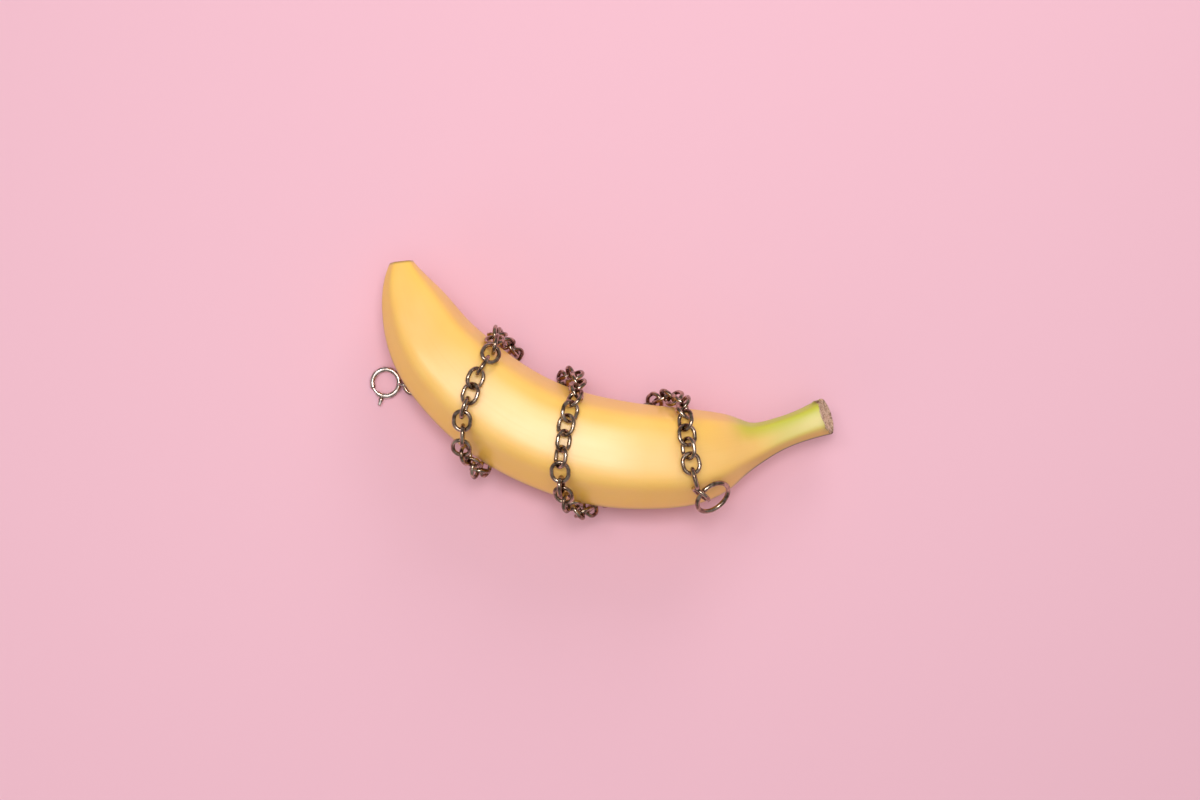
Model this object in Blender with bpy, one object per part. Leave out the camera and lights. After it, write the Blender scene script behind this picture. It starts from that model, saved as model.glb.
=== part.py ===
"""A ripe, unpeeled banana lying on its side, with one fine metal chain wound three times round it.

The chain starts at a spring-ring clasp on the surface, left of the fruit. It passes under the fruit,
comes over the top as a strand, goes under again, and does so three times. It ends in a plain ring
that leans on the front of the fruit near the neck. The fruit rests on the three crossings beneath it.
Run with blender --background --python part.py. The design works in millimetres.
"""

import math

import bmesh
import bpy
import numpy as np
from mathutils import Matrix, Vector

METRES = 0.001
GAP = 0.3

# The fruit, from the blossom end to the cut end: x, y and z of the middle, then the half width
RIBS = (
    (-71.8, 49.9, 22.3, 4.2),
    (-71.4, 46.9, 22.5, 6.0),
    (-69.7, 40.0, 23.1, 9.6),
    (-66.8, 32.6, 23.8, 12.6),
    (-59.7, 18.8, 25.1, 16.0),
    (-49.5, 7.2, 25.9, 17.7),
    (-38.0, -2.5, 26.3, 18.6),
    (-17.3, -13.6, 26.5, 19.2),
    (5.4, -19.5, 26.4, 19.4),
    (21.0, -20.7, 25.9, 18.6),
    (32.9, -20.3, 25.2, 17.4),
    (40.6, -18.9, 24.3, 15.5),
    (48.1, -17.2, 23.3, 12.2),
    (55.9, -15.6, 22.0, 7.9),
    (63.3, -12.9, 20.7, 6.1),
    (74.5, -8.8, 18.9, 5.9),
    (81.0, -6.4, 17.8, 6.6),
    (84.6, -5.2, 17.2, 6.9),
)
PEEL_FACES = 5
RIDGE_ANGLE = math.radians(30.0)
RIDGE_SHARPNESS = 9.0
RIDGE_SHARE = 0.85
CUT_SLANT = 2.4
CUT_REACH = 9.0
TIP_ROUNDING = 0.6
BANANA_RINGS = 46
BANANA_SIDES = 30

# One cable link, and the facets of its wire
LINK_LENGTH = 8.73
LINK_WIDTH = 7.4
WIRE = 1.5
WIRE_SIDES = 5
LINK_STEPS = 10
WIRE_FACET_RADIUS = 0.81
JOINT_OVERLAP = 0.32
LINK_COUNT = 80
FIRST_RUN = 6
LINKS_PER_RUN = 5
RUN_STARTS = (0, *range(FIRST_RUN, LINK_COUNT, LINKS_PER_RUN))
WIRE_SAMPLES = 6
LINK_REST = 3.3
FLOOR_REST = 3.0
FLOOR_REACH = 8.0
PEEL_ROOM = 0.42
PEEL_SAMPLES = 800

# The chain's route, from the clasp's lug to the end ring: points that the links' centres follow
ROUTE = (
    (-72.5, 4.8, 3.0),
    (-69.0, 5.4, 3.0),
    (-65.0, 4.6, 3.0),
    (-60.0, 1.9, 3.0),
    (-53.5, 0.9, 3.0),
    (-47.5, 5.8, 3.0),
    (-38.5, 11.0, 3.0),
    (-32.8, 14.8, 3.2),
    (-31.2, 17.6, 5.9),
    (-33.2, 19.8, 10.7),
    (-35.8, 21.2, 16.2),
    (-38.4, 21.8, 22.2),
    (-39.6, 21.0, 28.7),
    (-39.4, 18.2, 35.2),
    (-40.8, 13.8, 39.2),
    (-43.6, 8.7, 41.7),
    (-45.4, 2.3, 43.7),
    (-46.9, -2.7, 44.1),
    (-47.9, -7.7, 43.9),
    (-48.2, -12.7, 43.2),
    (-49.0, -17.8, 39.9),
    (-47.0, -20.1, 35.3),
    (-45.1, -22.8, 30.7),
    (-43.2, -23.8, 25.3),
    (-41.4, -23.4, 19.5),
    (-38.6, -21.0, 12.7),
    (-34.8, -17.0, 6.4),
    (-28.3, -10.9, 3.3),
    (-21.4, -3.8, 3.0),
    (-15.8, 2.4, 3.5),
    (-13.5, 7.4, 7.9),
    (-11.5, 8.8, 14.2),
    (-9.8, 9.0, 20.2),
    (-8.6, 7.6, 26.7),
    (-8.2, 4.4, 32.7),
    (-9.1, 0.7, 38.7),
    (-10.4, -3.6, 42.7),
    (-12.1, -9.2, 44.1),
    (-12.8, -14.8, 44.7),
    (-13.6, -20.4, 44.9),
    (-13.4, -26.0, 44.1),
    (-13.2, -30.8, 42.9),
    (-12.4, -35.4, 39.3),
    (-10.6, -37.2, 33.6),
    (-8.2, -39.0, 27.8),
    (-5.4, -39.3, 21.8),
    (-2.4, -38.4, 15.6),
    (0.8, -36.4, 9.6),
    (3.4, -33.4, 4.8),
    (4.6, -28.2, 3.2),
    (1.95, -18.5, 3.0),
    (7.7, -9.2, 3.2),
    (16.8, -3.4, 5.2),
    (21.2, 0.2, 10.7),
    (23.8, 1.0, 16.7),
    (26.4, 0.8, 22.7),
    (28.8, -0.6, 28.7),
    (29.8, -3.2, 34.7),
    (30.0, -7.0, 39.3),
    (30.6, -11.9, 41.1),
    (31.0, -16.5, 41.7),
    (32.2, -22.7, 41.7),
    (33.7, -27.5, 41.3),
    (35.0, -31.0, 40.0),
    (36.9, -32.8, 38.2),
    (39.4, -34.0, 36.4),
    (41.6, -35.0, 34.8),
)
ROUTE_STEP = 0.1
ROUTE_SMOOTHING = 21

# How far each link is turned about the chain, at chosen link numbers, in degrees
TWIST = (
    (0, -45.0), (3, 0.0), (14, 0.0), (16, -45.0), (17, -45.0), (19, -106.0), (20, -135.0),
    (21, -140.0), (22, -158.0), (25, -150.0), (31, -180.0), (44, -172.0), (45, -168.0), (46, -190.0),
    (48, -172.0), (49, -135.0), (52, -135.0), (53, -160.0), (54, -180.0), (74, -180.0), (75, -160.0),
    (76, -175.0), (77, -150.0), (78, -135.0), (79, -80.0),
)

# The spring-ring clasp lies on the surface
CLASP_CENTRE = (-79.3, 6.4)
CLASP_RADIUS = 4.95
CLASP_TUBE = 1.05
CLASP_OPENING = (-157.0, -131.0)
CLASP_SIDES = 8
CLASP_STEPS = 26
TONGUE_WIRE = 0.55
TONGUE_STEPS = 4
LUG_ANGLE = -7.0
LUG_REACH = 7.15
LUG_HEIGHT = 2.95
LUG_RADIUS = 1.9
LUG_WIRE = 0.55
LUG_STEPS = 12
THIN_WIRE_SIDES = 6
TRIGGER_ANGLE = -106.0
TRIGGER_LENGTH = 2.6
TRIGGER_RADII = (1.0, 0.6)
TRIGGER_SIDES = 12

# The plain ring at the other end leans on the front of the fruit
END_RING_CENTRE = (40.08, -34.55, 35.67)
END_RING_RADIUS = 6.4
END_RING_WIRE = 0.85
END_RING_TILT = 49.9
END_RING_BEARING = -50.0
END_RING_STEPS = 24

# Colours, roughness and metallic value of the finishes
FINISHES = {
    "peel": ((0.94, 0.62, 0.20), 0.5, 0.0),
    "nickel": ((0.32, 0.27, 0.25), 0.25, 1.0),
}


def natural_spline(knots, values, where):
    """Read a natural cubic spline through values at knots, at the places where."""
    step = np.diff(knots)
    slope = np.diff(values) / step
    size = len(knots)
    system = np.eye(size)
    change = np.zeros(size)
    for i in range(1, size - 1):
        system[i, i - 1:i + 2] = (step[i - 1], 2.0 * (step[i - 1] + step[i]), step[i])
        change[i] = 6.0 * (slope[i] - slope[i - 1])
    bend = np.linalg.solve(system, change)
    left = np.clip(np.searchsorted(knots, where) - 1, 0, size - 2)
    width = step[left]
    near = (knots[left + 1] - where) / width
    far = (where - knots[left]) / width
    curve = (near ** 3 - near) * bend[left] + (far ** 3 - far) * bend[left + 1]
    return near * values[left] + far * values[left + 1] + curve * width ** 2 / 6.0


def along(points):
    """Distance of each point from the first, measured along the points."""
    steps = np.linalg.norm(np.diff(points, axis=0), axis=1)
    return np.concatenate([[0.0], np.cumsum(steps)])


RIB_TABLE = np.array(RIBS)
STATIONS = along(RIB_TABLE[:, :2])
BANANA_LENGTH = STATIONS[-1]


def middle_line(station):
    """Centre, sideways direction towards the front, and half width at distances along the fruit."""
    columns = [natural_spline(STATIONS, RIB_TABLE[:, k], station) for k in range(4)]
    step = 0.05
    ahead = [natural_spline(STATIONS, RIB_TABLE[:, k], station + step) - columns[k] for k in range(2)]
    reach = np.hypot(ahead[0], ahead[1])
    sideways = np.stack([ahead[1] / reach, -ahead[0] / reach, np.zeros_like(reach)], axis=-1)
    return np.stack(columns[:3], axis=-1), sideways, columns[3]


def pentagon(angle):
    """Radius of a five-sided section with soft corners, one of them at RIDGE_ANGLE from the top."""
    faces = RIDGE_ANGLE + math.pi / PEEL_FACES * (1 + 2 * np.arange(PEEL_FACES))
    facing = np.maximum(np.cos(np.asarray(angle)[..., None] - faces), 0.0)
    five_sided = (facing ** RIDGE_SHARPNESS).sum(axis=-1) ** (-1.0 / RIDGE_SHARPNESS)
    return RIDGE_SHARE * five_sided + 1.0 - RIDGE_SHARE


def section_measures():
    """Scale and sideways shift that make the five-sided section span exactly its width."""
    angle = np.linspace(-math.pi, math.pi, 721)
    sideways = pentagon(angle) * np.sin(angle)
    return 2.0 / (sideways.max() - sideways.min()), (sideways.max() + sideways.min()) / 2.0


SECTION_SCALE, SECTION_SHIFT = section_measures()


def peel_point(station, angle):
    """Point on the peel at a distance along the fruit and an angle from the top towards the front."""
    near_cut = np.clip((station - BANANA_LENGTH + CUT_REACH) / CUT_REACH, 0.0, 1.0)
    slid = station - CUT_SLANT * near_cut ** 2 * (1.0 + np.cos(angle))
    centre, sideways, half_width = middle_line(slid)
    radius = pentagon(angle) * SECTION_SCALE
    across = (radius * np.sin(angle) - SECTION_SHIFT * SECTION_SCALE) * half_width
    up = radius * np.cos(angle) * half_width
    return centre + across[..., None] * sideways + up[..., None] * np.array([0.0, 0.0, 1.0])


def nearest_section(points):
    """Pole of the section nearest to each point, and the peel's distance from it towards the point."""
    station = np.linspace(0.0, BANANA_LENGTH, PEEL_SAMPLES)
    centre, sideways, half_width = middle_line(station)
    flat = points[:, None, :2] - centre[None, :, :2]
    near = (flat ** 2).sum(axis=2).argmin(axis=1)
    pole = centre[near] - SECTION_SHIFT * SECTION_SCALE * half_width[near, None] * sideways[near]
    offset = points - pole
    angle = np.arctan2((offset * sideways[near]).sum(axis=1), offset[:, 2])
    return pole, offset, pentagon(angle) * SECTION_SCALE * half_width[near]


def clear_of_peel(points):
    """Move points that are too near the peel straight outwards, and keep all above the surface."""
    pole, offset, peel = nearest_section(points)
    distance = np.linalg.norm(offset, axis=1)
    wanted = np.maximum(distance, peel + LINK_REST)
    moved = pole + offset * (wanted / distance)[:, None]
    moved[:, 2] = np.maximum(moved[:, 2], FLOOR_REST)
    return moved


def chain_route():
    """Smooth line through the route's points, clear of the peel, sampled at equal steps."""
    chosen = np.array(ROUTE)
    knots = along(chosen)
    where = np.arange(0.0, knots[-1], ROUTE_STEP)
    line = np.stack([natural_spline(knots, chosen[:, k], where) for k in range(3)], axis=-1)
    kernel = np.hanning(ROUTE_SMOOTHING)
    kernel = kernel / kernel.sum()
    for _ in range(3):
        line = clear_of_peel(line)
        padded = np.pad(line, ((ROUTE_SMOOTHING // 2, ROUTE_SMOOTHING // 2), (0, 0)), mode="edge")
        line = np.stack([np.convolve(padded[:, k], kernel, mode="valid") for k in range(3)], axis=-1)
    line = clear_of_peel(line)
    length = along(line)
    where = np.arange(0.0, length[-1], ROUTE_STEP)
    return np.stack([np.interp(where, length, line[:, k]) for k in range(3)], axis=-1)


LINK_END = LINK_LENGTH / 2.0 - WIRE / 2.0
LINK_BEND = (LINK_WIDTH - WIRE) / 2.0 / math.cos(math.pi / LINK_STEPS)
LINK_STRAIGHT = LINK_END - LINK_BEND


def wire_line():
    """Points along the middle of a link's wire, in the link's own plane."""
    turn = 2.0 * math.pi / LINK_STEPS * np.arange(LINK_STEPS + 1)
    corners = LINK_BEND * np.stack([np.cos(turn), np.sin(turn), 0.0 * turn], axis=-1)
    corners[:, 0] += np.copysign(LINK_STRAIGHT, corners[:, 0])
    share = np.linspace(0.0, 1.0, WIRE_SAMPLES, endpoint=False)[:, None, None]
    return (corners[:-1] * (1.0 - share) + corners[1:] * share).reshape(-1, 3)


WIRE_LINE = wire_line()


def outward_directions(route):
    """Direction away from the fruit at each point of the route, downwards on the surface below."""
    _, offset, _ = nearest_section(route)
    away = offset / np.linalg.norm(offset, axis=1)[:, None]
    low = np.clip((FLOOR_REACH - route[:, 2]) / (FLOOR_REACH - FLOOR_REST), 0.0, 1.0)[:, None]
    return away * (1.0 - low) + low * np.array([0.0, 0.0, -1.0])


def link_frame(route, outward, place, number):
    """Placement of a link as a 3 by 4 array: long axis, wide axis, thin axis and centre."""
    half = int(round(LINK_END / ROUTE_STEP))
    ahead = route[min(place + half, len(route) - 1)]
    direction = ahead - route[max(place - half, 0)]
    direction = direction / np.linalg.norm(direction)
    away = outward[place] - (outward[place] @ direction) * direction
    away = away / np.linalg.norm(away)
    beside = np.cross(away, direction)
    twist = np.interp(number, [k for k, _ in TWIST], [turn for _, turn in TWIST])
    roll = math.radians(45.0 + 90.0 * (number % 2) + twist)
    wide = math.cos(roll) * beside + math.sin(roll) * away
    axes = np.stack([direction, wide, np.cross(direction, wide)])
    centre = route[place].copy()
    _, offset, peel = nearest_section(WIRE_LINE @ axes + centre)
    room = np.linalg.norm(offset, axis=1) - peel - WIRE_FACET_RADIUS
    centre += max(0.0, PEEL_ROOM - room.min()) * away
    lowest = (WIRE_LINE @ axes)[:, 2].min() + centre[2] - WIRE_FACET_RADIUS
    centre[2] += max(0.0, -lowest)
    return np.concatenate([axes, centre[None]])


def wire_in_place(frame):
    """Points along a placed link's wire."""
    return WIRE_LINE @ frame[:3] + frame[3]


def link_frames():
    """Every link's placement, so that neighbours touch, with a gap between two runs."""
    route = chain_route()
    outward = outward_directions(route)
    half = int(round(LINK_END / ROUTE_STEP))
    place = half
    frames = [link_frame(route, outward, place, 0)]
    while len(frames) < LINK_COUNT:
        grip = 2.0 * WIRE_FACET_RADIUS - JOINT_OVERLAP
        if len(frames) in RUN_STARTS:
            grip = 2.0 * WIRE_FACET_RADIUS + GAP
        held = wire_in_place(frames[-1])
        tries = range(place + 4 * half // 3, min(place + 2 * half, len(route)))
        choices = [link_frame(route, outward, attempt, len(frames)) for attempt in tries]
        reach = []
        for choice in choices:
            apart = wire_in_place(choice)[:, None] - held[None]
            reach.append(math.sqrt((apart ** 2).sum(axis=2).min()))
        best = int(np.abs(np.array(reach) - grip).argmin())
        place = tries[best]
        frames.append(choices[best])
    return frames


def link_matrices():
    """Every link's placement as a matrix."""
    return [Matrix((*frame.T.tolist(), (0.0, 0.0, 0.0, 1.0))) for frame in link_frames()]


def material(name):
    """Principled material with the colour, roughness and metallic value of one finish."""
    colour, roughness, metallic = FINISHES[name]
    made = bpy.data.materials.new(name)
    made.use_nodes = True
    shader = made.node_tree.nodes["Principled BSDF"]
    shader.inputs["Base Color"].default_value = (*colour, 1.0)
    shader.inputs["Roughness"].default_value = roughness
    shader.inputs["Metallic"].default_value = metallic
    return made


def new_object(name, shape, collection, finish=None):
    """Object from a bmesh in millimetres, linked to a collection, its mesh in metres."""
    bmesh.ops.scale(shape, vec=(METRES,) * 3, verts=shape.verts)
    bmesh.ops.recalc_face_normals(shape, faces=shape.faces)
    mesh = bpy.data.meshes.new(name)
    shape.to_mesh(mesh)
    shape.free()
    mesh.shade_smooth()
    made = bpy.data.objects.new(name, mesh)
    collection.objects.link(made)
    if finish is not None:
        mesh.materials.append(finish)
    return made


def banana(collection, finish):
    """Loft of unlike five-sided sections along the middle line, closed by a cap at each end."""
    shape = bmesh.new()
    angles = np.linspace(0.0, 2.0 * math.pi, BANANA_SIDES, endpoint=False)
    rings = []
    for station in np.linspace(0.0, BANANA_LENGTH, BANANA_RINGS):
        points = peel_point(np.full(BANANA_SIDES, station), angles)
        rings.append([shape.verts.new(point) for point in points])
    for ring, following in zip(rings[:-1], rings[1:]):
        for k in range(BANANA_SIDES):
            after = (k + 1) % BANANA_SIDES
            shape.faces.new((ring[k], ring[after], following[after], following[k]))
    for ring, neighbour in ((rings[0], rings[1]), (rings[-1], rings[-2])):
        middle = sum((vertex.co for vertex in ring), Vector()) / BANANA_SIDES
        inner = sum((vertex.co for vertex in neighbour), Vector()) / BANANA_SIDES
        centre = shape.verts.new(middle + (middle - inner).normalized() * TIP_ROUNDING)
        for k in range(BANANA_SIDES):
            shape.faces.new((ring[k], ring[(k + 1) % BANANA_SIDES], centre))
    return new_object("banana", shape, collection, finish)


def bent_wire(bend, wire, sides, steps, start=0.0, sweep=360.0):
    """Round wire bent about Z, a closed ring or, for a smaller sweep, an arc with flat ends."""
    shape = bmesh.new()
    circle = bmesh.ops.create_circle(shape, cap_ends=False, radius=wire, segments=sides)
    stand = Matrix.Rotation(math.radians(-90.0), 4, "Y") @ Matrix.Rotation(math.radians(90.0), 4, "X")
    place = Matrix.Rotation(math.radians(start), 4, "Z") @ Matrix.Translation((bend, 0.0, 0.0)) @ stand
    bmesh.ops.transform(shape, matrix=place, verts=circle["verts"])
    closed = sweep >= 360.0
    bmesh.ops.spin(
        shape, geom=shape.verts[:] + shape.edges[:], cent=(0.0, 0.0, 0.0), axis=(0.0, 0.0, 1.0),
        angle=math.radians(sweep), steps=steps, use_merge=closed)
    if not closed:
        open_edges = [edge for edge in shape.edges if edge.is_boundary]
        bmesh.ops.holes_fill(shape, edges=open_edges, sides=0)
    return shape


def link(frame, collection, name):
    """One cable link: a bent wire whose halves are moved apart by its straight sides."""
    shape = bent_wire(LINK_BEND, WIRE_FACET_RADIUS, WIRE_SIDES, LINK_STEPS)
    for vertex in shape.verts:
        vertex.co.x += math.copysign(LINK_STRAIGHT, vertex.co.x)
    bmesh.ops.transform(shape, matrix=frame, verts=shape.verts)
    return new_object(name, shape, collection)


def joined(base, others, finish):
    """Base joined to the other objects by one Boolean union, which is applied."""
    operands = bpy.data.collections.new(base.name + "_joins")
    for other in others:
        operands.objects.link(other)
    union = base.modifiers.new("join", "BOOLEAN")
    union.operation = "UNION"
    union.operand_type = "COLLECTION"
    union.collection = operands
    union.solver = "EXACT"
    scene = bpy.context.evaluated_depsgraph_get()
    mesh = bpy.data.meshes.new_from_object(base.evaluated_get(scene))
    base.modifiers.clear()
    base.data = mesh
    mesh.name = base.name
    mesh.materials.clear()
    mesh.materials.append(finish)
    for other in others:
        bpy.data.objects.remove(other)
    bpy.data.collections.remove(operands)
    return base


def chain_runs(collection, finish):
    """The chain as short runs of touching links, each run one solid."""
    frames = link_matrices()
    ends = (*RUN_STARTS[1:], LINK_COUNT)
    for number, (first, after) in enumerate(zip(RUN_STARTS, ends), start=1):
        name = f"chain_run_{number:02d}"
        run = [link(frame, collection, name) for frame in frames[first:after]]
        run[0].name = name
        joined(run[0], run[1:], finish)


def clasp(collection, finish):
    """Spring-ring clasp: open tube ring with a lug, a thin tongue in its opening and a trigger."""
    centre = Matrix.Translation((*CLASP_CENTRE, CLASP_TUBE))
    low, high = CLASP_OPENING
    tube = bent_wire(CLASP_RADIUS, CLASP_TUBE, CLASP_SIDES, CLASP_STEPS, high, 360.0 - (high - low))
    bmesh.ops.transform(tube, matrix=centre, verts=tube.verts)
    ring = new_object("clasp_ring", tube, collection)

    reach = Matrix.Translation((LUG_REACH, 0.0, LUG_HEIGHT - CLASP_TUBE))
    stand = Matrix.Rotation(math.radians(LUG_ANGLE), 4, "Z") @ reach
    upright = Matrix.Rotation(math.radians(90.0), 4, "X")
    lug = bent_wire(LUG_RADIUS, LUG_WIRE, THIN_WIRE_SIDES, LUG_STEPS)
    bmesh.ops.transform(lug, matrix=centre @ stand @ upright, verts=lug.verts)
    joined(ring, [new_object("lug", lug, collection)], finish)

    clear = math.degrees(GAP / CLASP_RADIUS)
    sweep = high - low - 2.0 * clear
    tongue = bent_wire(CLASP_RADIUS, TONGUE_WIRE, THIN_WIRE_SIDES, TONGUE_STEPS, low + clear, sweep)
    bmesh.ops.transform(tongue, matrix=centre, verts=tongue.verts)
    new_object("clasp_tongue", tongue, collection, finish)

    trigger = bmesh.new()
    bmesh.ops.create_cone(
        trigger, cap_ends=True, segments=TRIGGER_SIDES, radius1=TRIGGER_RADII[0],
        radius2=TRIGGER_RADII[1], depth=TRIGGER_LENGTH)
    away = CLASP_RADIUS + CLASP_TUBE + GAP + TRIGGER_LENGTH / 2.0
    turn = Matrix.Rotation(math.radians(TRIGGER_ANGLE), 4, "Z") @ Matrix.Translation((away, 0.0, 0.0))
    lying = Matrix.Rotation(math.radians(90.0), 4, "Y")
    bmesh.ops.transform(trigger, matrix=centre @ turn @ lying, verts=trigger.verts)
    new_object("clasp_trigger", trigger, collection, finish)


def end_ring(collection, finish):
    """Plain closed ring, tilted to lie against the flank of the fruit."""
    shape = bent_wire(END_RING_RADIUS, END_RING_WIRE, THIN_WIRE_SIDES, END_RING_STEPS)
    bearing = Matrix.Rotation(math.radians(END_RING_BEARING), 4, "Z")
    tilt = Matrix.Rotation(math.radians(END_RING_TILT), 4, "Y")
    place = Matrix.Translation(END_RING_CENTRE) @ bearing @ tilt
    bmesh.ops.transform(shape, matrix=place, verts=shape.verts)
    return new_object("end_ring", shape, collection, finish)


def centre_on_box(collection):
    """Move every piece alike, so that the middle of the box's underside is the origin."""
    corners = np.array([tuple(vertex.co) for piece in collection.objects for vertex in piece.data.vertices])
    low = corners.min(axis=0)
    high = corners.max(axis=0)
    shift = Vector((-(low[0] + high[0]) / 2.0, -(low[1] + high[1]) / 2.0, -low[2]))
    for piece in collection.objects:
        piece.location = shift


def main():
    for leftover in list(bpy.data.objects):
        bpy.data.objects.remove(leftover)
    parts = bpy.data.collections.new("banana_with_chain")
    bpy.context.scene.collection.children.link(parts)
    banana(parts, material("peel"))
    nickel = material("nickel")
    chain_runs(parts, nickel)
    clasp(parts, nickel)
    end_ring(parts, nickel)
    centre_on_box(parts)


main()
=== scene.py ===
"""Looks of a ripe, unpeeled banana with one fine metal chain wound three times round it.

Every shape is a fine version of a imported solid: numpy works it out from the same driving dimensions,
and it lies where that solid lies. Lengths are in millimetres, unless a name says otherwise. The camera
looks straight down, as in the photograph.
"""

import math

import bpy
import numpy as np
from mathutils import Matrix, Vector


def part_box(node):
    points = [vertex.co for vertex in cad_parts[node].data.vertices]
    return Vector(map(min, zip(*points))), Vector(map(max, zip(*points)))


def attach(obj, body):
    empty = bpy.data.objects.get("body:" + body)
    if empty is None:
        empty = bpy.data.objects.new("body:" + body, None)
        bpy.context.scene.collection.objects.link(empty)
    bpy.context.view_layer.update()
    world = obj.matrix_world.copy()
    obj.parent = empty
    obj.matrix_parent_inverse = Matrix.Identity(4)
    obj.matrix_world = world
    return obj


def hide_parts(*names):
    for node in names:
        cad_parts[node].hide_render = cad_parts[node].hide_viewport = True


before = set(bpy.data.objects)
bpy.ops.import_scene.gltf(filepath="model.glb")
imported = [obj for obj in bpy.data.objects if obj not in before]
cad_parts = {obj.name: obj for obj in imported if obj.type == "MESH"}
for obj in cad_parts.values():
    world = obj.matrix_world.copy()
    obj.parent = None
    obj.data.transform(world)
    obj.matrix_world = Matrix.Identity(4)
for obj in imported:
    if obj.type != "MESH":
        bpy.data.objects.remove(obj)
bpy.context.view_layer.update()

METRES = 0.001
GAP = 0.3

# The fruit, from the blossom end to the cut end: x, y and z of the middle, then the half width
RIBS = (
    (-71.8, 49.9, 22.3, 4.2),
    (-71.4, 46.9, 22.5, 6.0),
    (-69.7, 40.0, 23.1, 9.6),
    (-66.8, 32.6, 23.8, 12.6),
    (-59.7, 18.8, 25.1, 16.0),
    (-49.5, 7.2, 25.9, 17.7),
    (-38.0, -2.5, 26.3, 18.6),
    (-17.3, -13.6, 26.5, 19.2),
    (5.4, -19.5, 26.4, 19.4),
    (21.0, -20.7, 25.9, 18.6),
    (32.9, -20.3, 25.2, 17.4),
    (40.6, -18.9, 24.3, 15.5),
    (48.1, -17.2, 23.3, 12.2),
    (55.9, -15.6, 22.0, 7.9),
    (63.3, -12.9, 20.7, 6.1),
    (74.5, -8.8, 18.9, 5.9),
    (81.0, -6.4, 17.8, 6.6),
    (84.6, -5.2, 17.2, 6.9),
)
PEEL_FACES = 5
RIDGE_ANGLE = math.radians(30.0)
RIDGE_SHARPNESS = 9.0
RIDGE_SHARE = 0.85
CUT_SLANT = 2.4
CUT_REACH = 9.0
SECTION_SAMPLES = 721
BANANA_RINGS = 46
BANANA_SIDES = 30

# One cable link, and the facets of its wire
LINK_LENGTH = 8.73
LINK_WIDTH = 7.4
WIRE = 1.5
LINK_STEPS = 10
WIRE_FACET_RADIUS = 0.81
JOINT_OVERLAP = 0.32
LINK_COUNT = 80
FIRST_RUN = 6
LINKS_PER_RUN = 5
RUN_STARTS = (0, *range(FIRST_RUN, LINK_COUNT, LINKS_PER_RUN))
WIRE_SAMPLES = 6
LINK_REST = 3.3
FLOOR_REST = 3.0
FLOOR_REACH = 8.0
PEEL_ROOM = 0.42
PEEL_SAMPLES = 800

# The chain's route, from the clasp's lug to the end ring: points that the links' centres follow
ROUTE = (
    (-72.5, 4.8, 3.0),
    (-69.0, 5.4, 3.0),
    (-65.0, 4.6, 3.0),
    (-60.0, 1.9, 3.0),
    (-53.5, 0.9, 3.0),
    (-47.5, 5.8, 3.0),
    (-38.5, 11.0, 3.0),
    (-32.8, 14.8, 3.2),
    (-31.2, 17.6, 5.9),
    (-33.2, 19.8, 10.7),
    (-35.8, 21.2, 16.2),
    (-38.4, 21.8, 22.2),
    (-39.6, 21.0, 28.7),
    (-39.4, 18.2, 35.2),
    (-40.8, 13.8, 39.2),
    (-43.6, 8.7, 41.7),
    (-45.4, 2.3, 43.7),
    (-46.9, -2.7, 44.1),
    (-47.9, -7.7, 43.9),
    (-48.2, -12.7, 43.2),
    (-49.0, -17.8, 39.9),
    (-47.0, -20.1, 35.3),
    (-45.1, -22.8, 30.7),
    (-43.2, -23.8, 25.3),
    (-41.4, -23.4, 19.5),
    (-38.6, -21.0, 12.7),
    (-34.8, -17.0, 6.4),
    (-28.3, -10.9, 3.3),
    (-21.4, -3.8, 3.0),
    (-15.8, 2.4, 3.5),
    (-13.5, 7.4, 7.9),
    (-11.5, 8.8, 14.2),
    (-9.8, 9.0, 20.2),
    (-8.6, 7.6, 26.7),
    (-8.2, 4.4, 32.7),
    (-9.1, 0.7, 38.7),
    (-10.4, -3.6, 42.7),
    (-12.1, -9.2, 44.1),
    (-12.8, -14.8, 44.7),
    (-13.6, -20.4, 44.9),
    (-13.4, -26.0, 44.1),
    (-13.2, -30.8, 42.9),
    (-12.4, -35.4, 39.3),
    (-10.6, -37.2, 33.6),
    (-8.2, -39.0, 27.8),
    (-5.4, -39.3, 21.8),
    (-2.4, -38.4, 15.6),
    (0.8, -36.4, 9.6),
    (3.4, -33.4, 4.8),
    (4.6, -28.2, 3.2),
    (1.95, -18.5, 3.0),
    (7.7, -9.2, 3.2),
    (16.8, -3.4, 5.2),
    (21.2, 0.2, 10.7),
    (23.8, 1.0, 16.7),
    (26.4, 0.8, 22.7),
    (28.8, -0.6, 28.7),
    (29.8, -3.2, 34.7),
    (30.0, -7.0, 39.3),
    (30.6, -11.9, 41.1),
    (31.0, -16.5, 41.7),
    (32.2, -22.7, 41.7),
    (33.7, -27.5, 41.3),
    (35.0, -31.0, 40.0),
    (36.9, -32.8, 38.2),
    (39.4, -34.0, 36.4),
    (41.6, -35.0, 34.8),
)
ROUTE_STEP = 0.1
ROUTE_SMOOTHING = 21
SMOOTHING_ROUNDS = 3

# Links turn about the chain by 45 degrees, by 90 more at every second link, and by this twist, in degrees
FIRST_ROLL = 45.0
ROLL_STEP = 90.0
TWIST = (
    (0, -45.0), (3, 0.0), (14, 0.0), (16, -45.0), (17, -45.0), (19, -106.0), (20, -135.0),
    (21, -140.0), (22, -158.0), (25, -150.0), (31, -180.0), (44, -172.0), (45, -168.0), (46, -190.0),
    (48, -172.0), (49, -135.0), (52, -135.0), (53, -160.0), (54, -180.0), (74, -180.0), (75, -160.0),
    (76, -175.0), (77, -150.0), (78, -135.0), (79, -80.0),
)

# The spring-ring clasp lies on the surface
CLASP_CENTRE = (-79.3, 6.4)
CLASP_RADIUS = 4.95
CLASP_TUBE = 1.05
CLASP_OPENING = (-157.0, -131.0)
TONGUE_WIRE = 0.55
LUG_ANGLE = -7.0
LUG_REACH = 7.15
LUG_HEIGHT = 2.95
LUG_RADIUS = 1.9
LUG_WIRE = 0.55
TRIGGER_ANGLE = -106.0

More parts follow.
